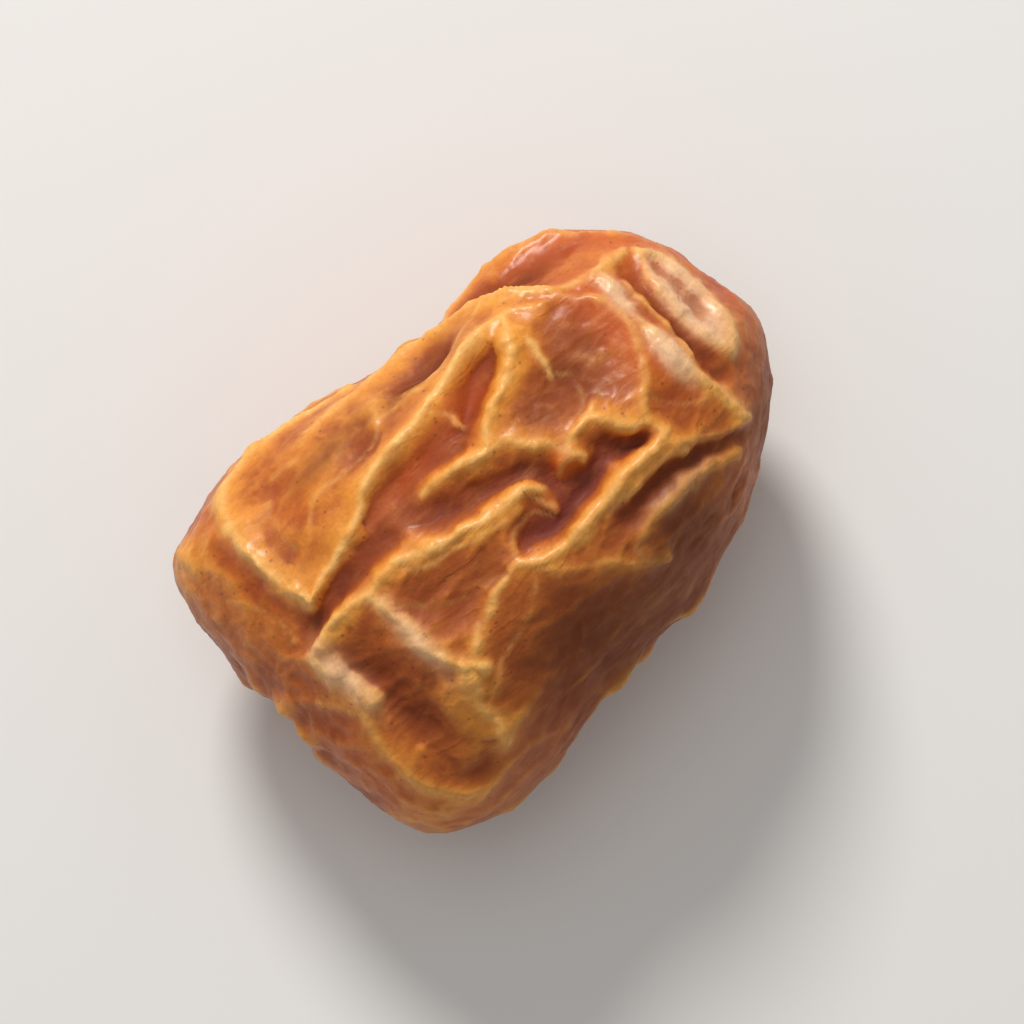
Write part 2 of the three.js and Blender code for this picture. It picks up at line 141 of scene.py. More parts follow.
# ---- Creases on the upper side: x, y and height above the plump form, then width and paleness ----
creases = {
    "panel_rim": ([(-2.8, 11.5, 0.5), (-4.4, 11.9, 0.4), (-7.8, 12.6, 0.35), (-9.7, 12.8, 0.4),
                   (-11.4, 12.6, 0.5), (-12.8, 12.1, 0.6), (-13.6, 11.2, 0.7), (-13.9, 10, 0.8),
                   (-13.9, 8.1, 0.9), (-13.7, 6.1, 0.95), (-13.4, 4.7, 0.9),
                   (-13.3, 3.3, 0.85)], 0.55, 0.85),
    "panel_step": ([(-6.7, 11.3, 0.3), (-7.8, 10.8, 0.15), (-10, 10.8, 0.1), (-11.1, 10.1, 0.05),
                    (-11.8, 8, 0.05), (-11.9, 6.4, 0.05)], 0.3, 0.25),
    "long_crest": ([(-13.3, 3.3, 0.8), (-11.4, 4, 0.4), (-10.3, 4.4, 0.3), (-8.9, 4.7, 0.3),
                    (-7.5, 5.3, 0.4), (-6.7, 6, 0.6), (-5.8, 6.4, 0.75), (-4.4, 6.7, 0.85),
                    (-2.8, 6.8, 0.9), (-1.1, 7.1, 0.9), (0.6, 7.5, 0.9), (2.2, 7.9, 0.85), (4.4, 8.2, 0.75),
                    (5.8, 8.4, 0.65), (7.5, 8.1, 0.45), (8.6, 7.5, 0.4)], 0.28, 1),
    "shoulder": ([(-6.7, 11.3, 0.3), (-4.2, 11.1, 0.5), (-1.7, 11.05, 0.6), (0.8, 10.9, 0.65),
                  (2.8, 10.7, 0.65), (4.4, 10.4, 0.6), (5.8, 10.4, 0.6), (7.2, 9.9, 0.55), (8.3, 9.3, 0.5),
                  (9.2, 8.6, 0.45), (10.6, 7.5, 0.5), (12.8, 6.7, 0.5), (15, 6.5, 0.45)], 0.4, 0.6),
    "shoulder_rim": ([(4.2, 10.5, 0.5), (5.6, 11.1, 0.5), (7.2, 11.45, 0.5), (9.2, 11.5, 0.5),
                      (11.1, 11.1, 0.5), (12.8, 10.3, 0.5), (14.4, 8.9, 0.5), (16, 7.3, 0.4)], 0.3, 0.5),
    "hook": ([(-3.9, 3.7, -0.2), (-2.8, 3.65, 0.3), (-1.7, 3.3, 0.5), (-0.3, 3, 0.6), (0.6, 2.9, 0.7),
              (1.1, 3.5, 0.7), (1.9, 4.2, 0.7), (3.1, 4.9, 0.7), (4.4, 5.4, 0.7), (5.6, 6.1, 0.7),
              (5.9, 6.9, 0.7), (6.4, 7.5, 0.65), (7, 8, 0.5)], 0.3, 0.75),
    "hook_branch": ([(0.8, 2.9, 0.7), (2.2, 2.4, 0.6), (2.9, 1.5, 0.55), (3.6, 0.6, 0.55), (4.3, -0.4, 0.5),
                     (4.6, -1.3, 0.2)], 0.26, 0.6),
    "knob": ([(2.9, -1, 0.2), (3.5, -0.6, 0.65), (4.3, -0.7, 0.6), (4.9, -1.2, 0.1)], 0.3, 0.4),
    "hollow_rim": ([(4.2, -0.2, 0.5), (5.8, 0.3, 0.4), (7.2, 0.7, 0.2), (8.1, 1.1, -0.3)], 0.3, 0.5),
    "hollow_bridge": ([(6.5, 0.4, 0.3), (7.5, -0.8, 0.45), (8.1, -1.7, 0.65), (8.9, -2.3, 0.75),
                       (9.4, -2.9, 0.75)], 0.32, 0.75),
    "ring": ([(10.2, 7.5, 0.45), (10.8, 6.5, 0.5), (11.8, 5.6, 0.6), (12.2, 4.2, 0.7), (12.1, 2.8, 0.7),
              (11.5, 1.3, 0.7), (10.8, 0, 0.7), (9.7, -1.1, 0.75), (8.8, -2, 0.75)], 0.3, 0.3),
    "middle_crest": ([(-15.3, 0.8, 0.8), (-14.2, 1.3, 0.9), (-12.5, 1.7, 0.9), (-10.3, 1.45, 0.85),
                      (-8.9, 1.6, 0.8), (-7.2, 1.3, 0.75), (-5.6, 0.8, 0.7), (-4.2, 0.6, 0.65),
                      (-2.8, 0.2, 0.6), (-1.1, -0.1, 0.5), (0.6, -0.3, 0.2), (1.6, -0.9, -0.4)], 0.3, 0.8),
    "stem_fold": ([(-15.3, 0.8, 0.8), (-14.9, -0.6, 0.8), (-14.6, -2.2, 0.7),
                   (-14.5, -3.5, 0.5)], 0.55, 0.9),
    "stem_edge": ([(-15, -2.6, 0.4), (-15.7, -4.4, 0.3), (-16, -7.2, 0.25), (-15.6, -9.4, 0.25),
                   (-14.2, -11.4, 0.3), (-12.2, -12.2, 0.2)], 0.35, 0.25),
    "pale_fold": ([(-10.5, 1.3, 0.7), (-10.3, 0.6, 0.65), (-10.1, -1.1, 0.7), (-10, -2.8, 0.75),
                   (-9.7, -4.2, 0.75), (-8.9, -5.6, 0.7), (-8.1, -6.4, 0.5)], 0.5, 0.85),
    "pale_foot": ([(-8.9, -5.8, 0.6), (-9.7, -7.2, 0.55), (-10, -9.2, 0.5),
                   (-10.3, -10.8, 0.35)], 0.4, 0.5),
    "lower_crest": ([(-9.2, -6.2, 0.5), (-7.5, -5.1, 0.25), (-5.8, -4.3, 0.25), (-3.9, -3.4, 0.4),
                     (-2.8, -3.3, 0.55), (-1.7, -3.8, 0.65), (0, -4.2, 0.7), (1.9, -4.2, 0.75),
                     (3.9, -4, 0.75), (5.6, -3.6, 0.75), (7.2, -3.5, 0.75), (8.6, -3.5, 0.8),
                     (9.5, -3.2, 0.7)], 0.3, 0.65),
    "flank_branch": ([(-2.8, -3.4, 0.5), (-1.4, -4.6, 0.45), (0, -5.8, 0.4), (1.7, -6.9, 0.4),
                      (3.3, -8.3, 0.4), (4.4, -8.9, 0.3)], 0.25, 0.2),
    "tip_branch": ([(8.8, -3.4, 0.7), (9.7, -4.2, 0.6), (10.8, -5, 0.5), (12.4, -5.6, 0.4),
                    (14, -6, 0.3)], 0.3, 0.35),
    "flank_fold": ([(3.4, -8.2, 0.2), (3.6, -7.4, 0.25), (5, -6.7, 0.3), (6.7, -6.4, 0.35),
                    (8.3, -6.35, 0.4), (9.2, -6.4, 0.4), (10.8, -6.8, 0.35), (12.2, -7.3, 0.2)], 0.42, 0.2),
    "inner_cross_fold": ([(13.2, 6.2, 0.3), (13.1, 5.6, 0.45), (12.85, 3.9, 0.5), (12.7, 1.7, 0.55),
                          (12.8, -0.6, 0.5), (13.2, -1.9, 0.45), (13.6, -4, 0.35),
                          (13.7, -5.6, 0.3)], 0.42, 0.8),
    "cross_thread": ([(13.9, 5.2, 0.15), (13.8, 2.5, 0.2), (13.8, -0.5, 0.15)], 0.2, 0.5),
    "outer_cross_fold": ([(15.7, 6, 0.3), (15.15, 4.6, 0.45), (15.05, 1.7, 0.5), (15.4, -0.8, 0.45),
                          (16, -2.5, 0.3)], 0.35, 0.75),
    "outermost_cross_fold": ([(15.7, 6, 0.3), (16.6, 4.9, 0.45), (17.05, 1.9, 0.5), (16.9, -0.8, 0.4),
                              (16, -2.5, 0.3)], 0.4, 0.9),
    "fleck_one": ([(6.9, 6.4, 0), (7, 5.3, -0.4), (6.6, 4, -0.8)], 0.3, 0.75),
    "fleck_two": ([(8.9, 3.7, -0.7), (9.4, 3, -0.7), (10.1, 2.8, -0.8)], 0.3, 0.7),
    "valley_bridge": ([(-0.4, 7, 0.7), (0.3, 6.2, -0.1), (0.6, 5.3, -0.5)], 0.25, 0.35),
    "shoulder_thread": ([(-2.8, 8.8, 0.05), (0, 8.5, 0.15), (2.8, 8.9, 0.25), (5.4, 9.6, 0.35),
                         (7.2, 9.9, 0.5)], 0.25, 0.4),
    "panel_thread": ([(-10.6, 6.6, 0.1), (-9, 7.9, 0.15), (-6.4, 8, 0.15), (-3.6, 8.2, 0.15),
                      (-2.4, 9.8, 0.3)], 0.25, 0.3),
    "middle_thread": ([(-8, 1.1, 0.5), (-7, 0.4, 0.4), (-5, 0.1, 0.35), (-2.8, -0.6, 0.25),
                       (-0.6, -0.9, 0.1)], 0.25, 0.5),
    "pit_arc": ([(-2.3, -2.9, 0.1), (-1.7, -1.8, -0.3), (-0.6, -1.5, -0.6), (0.4, -1.8, -0.9),
                 (1.1, -2.5, -1.2)], 0.22, 0.35),
    "gully_gleam": ([(0.6, -0.4, -0.5), (1.1, -1.4, -0.7), (1.3, -2.4, -0.8)], 0.22, 0.45),
    "lower_thread": ([(3.4, -4.7, 0.3), (5.4, -4.6, 0.3), (7.4, -4.4, 0.3), (9.1, -4.5, 0.35),
                      (9.7, -4.9, 0.4)], 0.25, 0.5),
    "stem_line": ([(-17, -1.2, 0.1), (-16.3, -2.4, 0.2), (-15.5, -3.4, 0.25)], 0.25, 0.4),
    "stem_face_line": ([(-17.6, 7.4, -0.1), (-16.4, 6.2, 0), (-15.6, 4.2, -0.1),
                        (-15.5, 2.4, 0.1)], 0.25, 0.25),
    "valley_thread": ([(-9.6, -0.4, 0.3), (-7.6, -2, -0.1), (-5.6, -3, -0.1),
                       (-3.4, -3.2, 0.2)], 0.22, 0.2),
    "flank_thread": ([(-9, -8, 0.1), (-6.5, -6.8, -0.1), (-4.3, -6.2, -0.1), (-2.4, -4.6, 0.3)], 0.25, 0.3),
    "tip_thread": ([(10.2, -1.2, 0.3), (11.2, -2.6, 0), (12.2, -3.4, 0), (13.3, -3.2, 0.3)], 0.22, 0.3),
    "hollow_thread": ([(6.6, 4.2, -0.8), (7.6, 3.2, -0.9), (7.4, 1.9, -0.8), (6.4, 0.8, -0.2)], 0.22, 0.25),
}

# ---- Furrows on the upper side: x, y and height against the plump form ----
furrows = {
    "under_long_crest": [(-7.6, 4.7, -0.2), (-5.5, 5.2, -0.3), (-3, 5.2, -0.6), (-0.6, 4.8, -0.9),
                         (0.8, 5.5, -1.2), (2.2, 6.3, -1.4), (3.6, 6.9, -1.3), (4.7, 7.3, -0.8)],
    "above_middle_crest": [(-15.1, 1.6, 0.2), (-13.9, 2.1, 0), (-12.5, 2.6, -0.1), (-11.1, 3, -0.2),
                           (-9.7, 3.3, -0.3), (-8.3, 3.4, -0.4), (-6, 3.1, -0.6), (-4, 2.3, -0.8),
                           (-1.5, 1.5, -0.9), (0.3, 0.8, -1.1), (1.6, 0.3, -1.1), (2.4, -1, -1.1),
                           (2.2, -2.2, -1.2)],
    "purple_furrow": [(-1.8, -2.5, -0.6), (-0.9, -2.3, -1.2), (0, -3, -1.5), (1.4, -3.15, -1.6),
                      (2.8, -2.8, -1.5), (4.4, -2.3, -1.5), (6.2, -1.6, -1.5), (6.9, -2.3, -1.5),
                      (7.8, -2.9, -1)],
    "behind_panel_rim": [(-14.9, 11.2, 0.2), (-15.5, 10, 0.1), (-15.8, 8, 0.1), (-15.6, 5.5, 0.1),
                         (-15.4, 3.6, 0.1), (-15.8, 2.4, 0)],
    "stem_hollow": [(-13.8, -1.2, -0.1), (-13.8, -2.4, -0.6), (-13.4, -4, -1.0), (-13.3, -6.5, -1.2),
                    (-13.5, -9, -0.8), (-13.1, -10.6, -0.4)],
    "above_flank_fold": [(4.6, -5.4, -0.4), (6.5, -5.3, -0.7), (9.2, -5.4, -0.7), (11, -6, -0.5),
                         (12.6, -6.6, -0.3)],
    "between_cross_folds": [(14.4, 5.4, -0.3), (14.45, 3, -0.5), (14.4, 0, -0.5), (14.6, -2.6, -0.4)],
    "inside_shoulder_rim": [(6.2, 10.8, -0.5), (7.4, 10.6, -1.3), (9.2, 10.2, -1.5), (11.1, 9.8, -1.2),
                            (12.4, 9.4, -0.5)],
    "shoulder_nick": [(0, 9.6, -0.8), (1.2, 9.65, -1.4), (2.6, 9.5, -0.8)],
    "cross_streak": [(16, 4.6, 0.1), (16.15, 2.5, 0), (16.2, 0, 0.15)],
}

# ---- Where the skin lies between creases: x, y, half-length, half-width, turn, height ----
panels = {
    "upper_panel": (-9, 7.6, 4.4, 3.6, 8, 0),
    "sunk_upper_panel": (-7.3, 9.3, 2.8, 0.9, 4, -0.3),
    "shoulder_panel": (0, 9.1, 4.5, 1.1, 3, -0.15),
    "far_shoulder_panel": (12, 8.5, 2.8, 1.4, -28, 0.35),
    "stem_face": (-17, 7.5, 1.6, 3.6, 0, -0.15),
    "stem_face_bulge": (-17.3, 5.2, 1.3, 1.6, 0, 0.1),
    "stem_face_low": (-17.2, -3, 1.2, 4.5, 0, -0.5),
    "hollow": (5.2, 3, 2.4, 1.6, 12, -1.9),
    "hollow_far": (9.4, 4.3, 1.8, 2.2, 0, -1.6),
    "hollow_corner": (9.8, 1.6, 1.2, 1.2, 0, -2.0),
    "middle_valley": (-6, -2, 3.2, 1.7, -8, -1.2),
    "flank_valley": (-4.8, -7.4, 3.8, 1.6, -6, -1.1),
    "flank_hollow": (6.7, -8.7, 2.2, 1.3, 0, -1.7),
    "long_valley": (-7.2, 3.9, 4.6, 0.9, 6, -0.6),
    "middle_gully": (-1.2, 1.7, 3.4, 0.9, -18, -1.1),
    "gully_bend": (1.5, -0.6, 0.8, 1.6, 10, -1.5),
    "purple_pit": (-0.6, -2.8, 1.2, 0.8, 0, -2.2),
    "purple_gully": (4.2, -2.3, 3.9, 0.95, 8, -1.8),
    "red_gully": (2.3, 6.3, 2.1, 0.8, 22, -2.0),
    "tip_valley": (11.3, -2.8, 1, 1.6, 10, -0.35),
    "stem_slope": (-11.3, -7.2, 0.9, 3.2, 0, 0.2),
    "stem_face_top": (-16.6, 8, 1.2, 3.4, 0, 0),
}
SKIN_REST = -0.65  # where the skin lies everywhere else
SKIN_REACH = 2.8  # how far a crease lifts the skin beside it
CREST_SHARE = 0.8  # how much of its height each crease, furrow and panel keeps
FURROW_SHARE = 0.55
PANEL_SHARE = 0.75

# ---- Lengthwise creases round the flanks and the underside ----
FLANK_CREASES = 11
FIRST_TURN = 84  # degrees round from the top
LAST_TURN = 276
FLANK_HEIGHT = 0.6
FLANK_WIDTH = 0.3
FLANK_PALENESS = 0.65


def flank_crease(number):
    """A crease from near the stem to near the tip: its points, their heights and its strength there."""
    start = -17.2 + 1.5 * (1 + math.sin(2.3 * number))
    stop = 17 - 2 * (1 + math.sin(1.7 * number + 1))
    share = np.linspace(0, 1, 201)
    x = start + (stop - start) * share
    wander = 5.5 * (np.sin(0.42 * x + 2.1 * number) + 0.45 * np.sin(1.1 * x + 3.7 * number))
    turn = FIRST_TURN + (LAST_TURN - FIRST_TURN) * number / (FLANK_CREASES - 1)
    angle = np.radians(turn + wander)
    along = x / GIRTH[0]
    around = np.sqrt(1 - along ** 2)
    at = form_point(np.column_stack([along, around * np.sin(angle), around * np.cos(angle)]))
    strength = np.sin(math.pi * share) * (0.8 + 0.2 * np.sin(0.9 * x + number))
    return at, SKIN_REST + (FLANK_HEIGHT - SKIN_REST) * strength, strength


# ---- The blown-up box grid that the skin is laid on ----
FACES = (160, 110, 94)


def grid_on_form():
    """The directions of the grid's corners from the middle of the fruit, and its faces."""
    nx, ny, nz = FACES
    number = np.full((nx + 1, ny + 1, nz + 1), -1)
    i, j, k = np.meshgrid(*(np.arange(n + 1) for n in FACES), indexing="ij")
    shell = (i == 0) | (i == nx) | (j == 0) | (j == ny) | (k == 0) | (k == nz)
    number[shell] = np.arange(shell.sum())
    corner = np.column_stack([2 * a[shell] / n - 1 for a, n in zip((i, j, k), FACES)])
    direction = np.tan(corner * math.pi / 4)
    direction /= np.linalg.norm(direction, axis=1)[:, None]
    quads = []
    for flank_shade, outward in ((number[0], False), (number[-1], True),
                          (number[:, 0], True), (number[:, -1], False),
                          (number[:, :, 0], False), (number[:, :, -1], True)):
        a, b, c, d = flank_shade[:-1, :-1], flank_shade[1:, :-1], flank_shade[1:, 1:], flank_shade[:-1, 1:]
        ring = (a, b, c, d) if outward else (a, d, c, b)
        quads.append(np.stack(ring, axis=-1).reshape(-1, 4))
    return direction, np.vstack(quads)


direction, quads = grid_on_form()
form = form_point(direction)


def corner_normals(points):
    """Outward normals at the grid's corners, and the area that each corner stands for."""
    across = points[quads[:, 2]] - points[quads[:, 0]]
    other = points[quads[:, 3]] - points[quads[:, 1]]
    face = np.cross(across, other) / 2
    area = np.linalg.norm(face, axis=1)
    total = np.zeros_like(points)
    share = np.zeros(len(points))
    for corner in range(4):
        for axis in range(3):
            total[:, axis] += np.bincount(quads[:, corner], face[:, axis], len(points))
        share += np.bincount(quads[:, corner], area / 4, len(points))
    return total / np.linalg.norm(total, axis=1)[:, None], share


form_normal, form_area = corner_normals(form)
links = np.vstack([quads[:, [0, 1]], quads[:, [1, 2]], quads[:, [2, 3]], quads[:, [3, 0]]])
links = links[links[:, 0] < links[:, 1]]
count = len(form)


def neighbour_sum(values):
    return (np.bincount(links[:, 0], values[links[:, 1]], count)
            + np.bincount(links[:, 1], values[links[:, 0]], count))


link_count = neighbour_sum(np.ones(count))


def soften(values, passes):
    for _ in range(passes):
        values = values * 0.5 + 0.5 * neighbour_sum(values) / link_count
    return values


# ---- Every crease and furrow as points on the form ----
LINE_STEP = 0.08
FURROW_WIDTH = 0.4
FURROW_MARK = -1.0  # stands in place of a furrow's paleness
line_at = []
line_height = []
line_width = []
line_pale = []


def add_line(at, height, width, pale):
    line_at.append(at)
    line_height.append(height)
    line_width.append(np.full(len(at), width))
    line_pale.append(pale * np.ones(len(at)))


def add_upper_line(points, height_share, width, pale):
    flow = flowing_line(points, LINE_STEP)
    add_line(on_top(flow[:, 0], flow[:, 1]), height_share * flow[:, 2], width, pale)


for points, width, pale in creases.values():
    add_upper_line(points, CREST_SHARE, width, pale)
for points in furrows.values():
    add_upper_line(points, FURROW_SHARE, FURROW_WIDTH, FURROW_MARK)
for number in range(FLANK_CREASES):
    at, height, strength = flank_crease(number)
    add_line(at, height, FLANK_WIDTH, FLANK_PALENESS * strength)
line_at = np.vstack(line_at)

# ---- The nearest line to each point. A waver keeps the lines from running true ----
WAVER = 0.24  # how far a crease wavers from side to side
LONG_WAVER = 1.7
SHORT_WAVER = 0.8
SHORT_SHARE = 0.7

nearest_line = KDTree(len(line_at))
for i, at in enumerate(line_at):
    nearest_line.insert(at, i)
nearest_line.balance()
noise.seed_set(2)
wavering = np.array([noise.noise_vector(Vector(point) / LONG_WAVER)
                     + SHORT_SHARE * noise.noise_vector(Vector(point) / SHORT_WAVER) for point in form])


def swing(size, shift):
    """A smooth swing to either side of zero, over patches of about this size."""
    return np.array([noise.noise(Vector(point) / size + Vector(shift)) for point in form])


uneven = swing(2.3, (9, 4, 7))
ragged = swing(0.9, (3, 8, 2))
found = [nearest_line.find(point) for point in form + WAVER * wavering]
line_number = np.array([number for _, number, _ in found])
line_away = np.array([away for _, _, away in found])
height_here = np.concatenate(line_height)[line_number]
width_here = np.concatenate(line_width)[line_number]
pale_here = np.concatenate(line_pale)[line_number]
is_furrow = pale_here < 0

# ---- Where the skin wants to lie away from the creases ----
upper = smooth((form[:, 2] - 0.5) / 3)


def from_oval(x, y, long, wide, turn):
    """How far each point is from an oval's middle, seen from above, squared: 1 all along its edge."""
    c, s = math.cos(math.radians(turn)), math.sin(math.radians(turn))
    u = ((form[:, 0] - x) * c + (form[:, 1] - y) * s) / long
    v = ((form[:, 1] - y) * c - (form[:, 0] - x) * s) / wide
    return u * u + v * v


lie = np.full(count, SKIN_REST)
for *oval, height in panels.values():
    lie += (PANEL_SHARE * height - lie) * np.exp(-from_oval(*oval) ** 1.5) * upper

# ---- Stretch the skin over the creases and down into the furrows ----
CREASE_GRIP = 8
CREASE_GRIP_WIDTH = 0.13
FURROW_GRIP = 1.2
FURROW_GRIP_WIDTH = 0.55
HEIGHT_SWING = 0.25
MOST_ROUNDS = 400
TAUT_ENOUGH = 1e-9
PINCH_HEIGHT = 0.28
PINCH_WIDTH = 0.26

pull = form_area / SKIN_REACH ** 2
grip = np.where(is_furrow, FURROW_GRIP * np.exp(-(line_away / FURROW_GRIP_WIDTH) ** 2),
                CREASE_GRIP * np.exp(-(line_away / CREASE_GRIP_WIDTH) ** 2))
weight = pull + grip
target = (pull * lie + grip * (height_here + HEIGHT_SWING * uneven)) / weight


def stretched(weight, target):
    """The skin that is as taut as can be while it is held to its targets."""
    def sag(h):
        return link_count * h - neighbour_sum(h) + weight * h
    h = target.copy()
    residual = weight * target - sag(h)
    scale = 1 / (link_count + weight)
    z = scale * residual
    way = z.copy()
    size = residual @ z
    for _ in range(MOST_ROUNDS):
        turned = sag(way)
        step = size / (way @ turned)
        h += step * way
        residual -= step * turned
        z = scale * residual
        new_size = residual @ z
        if new_size < TAUT_ENOUGH:
            break
        way = z + new_size / size * way
        size = new_size
    return h


relief = stretched(weight, target)
# each crease is pinched up to a sharp edge, higher in some places than in others
pinch = np.where(is_furrow, 0, PINCH_HEIGHT * pale_here) * np.exp(-line_away / PINCH_WIDTH)
relief += pinch * np.maximum(0.8 + uneven + 0.9 * ragged, 0)

# ---- The stem scar on the blunt end: a shallow dish with a raised, puckered lip ----
SCAR_Y = -0.4
SCAR_Z = 0.4
SCAR_RADIUS = 2.5
SCAR_DEPTH = 0.65
LIP_HEIGHT = 0.35
PUCKERS = 9
PUCKER_HEIGHT = 0.12

at_stem = form[:, 0] < 0
scar_away = np.hypot(form[:, 1] - SCAR_Y, form[:, 2] - SCAR_Z) / SCAR_RADIUS
scar_turn = np.arctan2(form[:, 2] - SCAR_Z, form[:, 1] - SCAR_Y)
dish = np.where(at_stem, np.exp(-scar_away ** 3), 0)
lip = np.where(at_stem, np.exp(-((scar_away - 1.25) / 0.35) ** 2), 0)
pucker = np.where(at_stem, np.exp(-((scar_away - 1.5) / 0.9) ** 2) * np.cos(PUCKERS * scar_turn), 0)

# ---- The folded skin, smooth again close above the flat spot that the fruit rests on ----
FADE_ABOVE_FLAT = 2.6
above_flat = smooth((form[:, 2] - FLOOR_LEVEL) / FADE_ABOVE_FLAT)
stand = relief * above_flat + LIP_HEIGHT * lip - SCAR_DEPTH * dish + PUCKER_HEIGHT * pucker
skin = form + form_normal * stand[:, None]
skin[:, 2] = np.maximum(skin[:, 2], FLOOR_LEVEL)

# ---- What the finish needs to know at each point ----
paleness = np.maximum(pale_here, 0)


def patch(x, y, long, wide, turn, sharpness=1.0):
    """A soft oval patch of the upper side, 1 in its middle and 0 well outside."""
    return np.exp(-from_oval(x, y, long, wide, turn) ** sharpness) * smooth((form[:, 2] + 2) / 3)


def added(*patches):
    """Patches added up. Each is given as its strength and then its oval."""
    return sum(strength * patch(*oval) for strength, *oval in patches)


tip_amber = added((1, 15.5, 7.5, 4, 2.6, -45), (0.6, 11.5, 10.8, 4.5, 1.5, -12))
tip_amber = tip_amber * (1 - 0.7 * patch(11.4, 8.9, 3, 1.4, -24))
# saturated orange at the tip, the rims and some gullies; the patch behind the panel rim at the stem end is
# painted shade
amber_and_shade = tip_amber + added(
    (1, 11.4, 3.5, 1.4, 4.5, 0), (0.6, -14.8, 8, 0.8, 4.2, 0), (0.5, -10, 9, 3, 2, 0),
    (0.9, 18.6, 1, 1.2, 6, 0), (1, 3.6, -0.4, 1.1, 1, 0), (0.6, -4, 5.2, 3.4, 0.8, 8),
    (0.6, 2.3, 6.4, 2, 0.9, 22), (0.4, -17.3, -5, 1.8, 5, 0))
# pale patches: the glints on the cross folds near the tip, as painted highlight; the stem fold, the pale
# fold and the flank fold are also paler
glint_and_pale = added(
    (1, 12.9, 4.6, 0.7, 1.6, 0, 1.5), (1, 12.7, 0, 0.8, 2.2, 0, 1.5), (1, 16, 1.8, 1.3, 3.7, 0, 3),
    (0.9, -14.7, -1, 0.8, 2.6, 0), (0.8, -10.1, -2.6, 0.7, 2.8, 0), (0.2, 8.4, -6.3, 2.4, 0.5, 0))
gold = added(
    (1, -9.5, 8, 5.5, 4.5, 8), (0.6, -12.4, 8, 1.5, 4.5, 0, 1.5), (1, 0, 10, 5, 1.8, 0),
    (0.7, 6, 7, 2.4, 1.6, 20), (0.5, 9, -2.6, 1.6, 1.8, 0), (0.4, 3, 4, 2, 2, 0),
    (1, -11.2, -8.4, 1.2, 2.8, 0), (0.7, 12.6, 8.2, 2.6, 1.1, -28))
# darker brown: painted shade on the lower flank, on the flank fold and in the furrow inside the shoulder
# rim; it also darkens bands on the upper panels, the hollow and the tip's edges
umber_and_shade = added(
    (1, 0, -11.5, 9, 3.2, -4), (1, 6.7, -8.7, 3.6, 2, 0), (0.6, -3, -8, 5, 2, 0),
    (0.7, 15.5, -6.5, 3.4, 1.8, 35), (0.8, 8.3, -6.1, 4, 1.3, -4), (0.8, -7, 9.5, 3.6, 0.8, 2),
    (0.8, 0.5, 9.3, 3, 0.8, 4), (0.6, 5.6, 2.8, 2.8, 1.7, 12), (0.4, 9.2, 3.8, 1.6, 2.2, 0),
    (0.6, 9.6, 10.1, 2.4, 0.5, -10), (0.35, -13.3, -6, 0.9, 2.8, 0), (0.3, 19, -3, 1.4, 4, 0))
# plum in the deepest gullies and the purple furrow: partly the skin's colour, partly painted shade
plum_and_shade = added((1, 3, -2.8, 5.5, 1.1, 6), (0.8, 1.8, 0.2, 1, 2.2, 20), (0.25, -7, 3.6, 3, 1, -8))
taut = np.clip(added((0.75, -9.5, 7.6, 3.6, 3.4, 8, 1.5), (0.6, 11.8, 8.6, 2.6, 1.6, -28, 1.5)), 0, 1)
marks = {
    # crease and crest: paler skin along each crease, partly a painted highlight
    "crease": paleness * np.exp(-(line_away / (1.6 * width_here)) ** 2),
    "crest": above_flat * paleness * np.exp(-(line_away / (0.75 * width_here)) ** 2),
    "amber_and_shade": np.clip(amber_and_shade, 0, 1), "glint_and_pale": np.clip(glint_and_pale, 0, 1), "gold": np.clip(gold, 0, 1),
    "umber_and_shade": np.clip(umber_and_shade, 0, 1), "plum_and_shade": np.clip(plum_and_shade, 0, 1), "scar": np.clip(1.2 * dish, 0, 1),
    # the flanks and underside darker: painted shade
    "flank_shade": 1 - upper, "loose": above_flat * (1 - 0.55 * taut),
}

# ---- The skin's mesh: the fruit's box is centred over the origin, and its flat spot lies on z = 0 ----
MM = 0.001
scene = bpy.context.scene
middle = (skin.min(axis=0) + skin.max(axis=0)) / 2
skin_m = (skin - np.array([middle[0], middle[1], FLOOR_LEVEL])) * MM
folded_mesh = bpy.data.meshes.new("date_folded_skin")
folded_mesh.from_pydata(skin_m.tolist(), [], quads.tolist())
folded_mesh.shade_smooth()


def mark(mesh, name, values):
    attribute = mesh.attributes.new(name, "FLOAT", "POINT")
    attribute.data.foreach_set("value", values.astype(np.float32))


for name, values in marks.items():
    mark(folded_mesh, name, values)
date_skin = bpy.data.objects.new("date_skin_folds", folded_mesh)
scene.collection.objects.link(date_skin)

# ---- Fine creasing, laid over the folds: small sunken cells, dimples and wandering wrinkles ----
FINE_CREASING = {
    "Cell Size": 2.8, "Cell Depth": 0.18, "Small Cell Size": 1.1, "Small Cell Depth": 0.05,
    "Dimple Spacing": 0.8, "Dimple Depth": 0.03, "Wrinkle Spacing": 4.2, "Wrinkle Height": 0.16,
    "Fine Wrinkle Spacing": 1.7, "Fine Wrinkle Height": 0.08, "Drawn Out": 0.5, "Seed": 3.0,
}


def fill(tree, socket, value):
    """Wire an output into a socket, or give the socket a value of its own."""
    if isinstance(value, bpy.types.NodeSocket):
        tree.links.new(value, socket)
    elif value is not None:
        socket.default_value = value


def arithmetic_in(tree):
    """Short ways to add maths nodes to a tree: any operation, then add, take away and multiply."""
    def maths(operation, a, b=None):
        node = tree.nodes.new("ShaderNodeMath")
        node.operation = operation
        fill(tree, node.inputs[0], a)
        fill(tree, node.inputs[1], b)
        return node.outputs[0]
    return maths, partial(maths, "ADD"), partial(maths, "SUBTRACT"), partial(maths, "MULTIPLY")


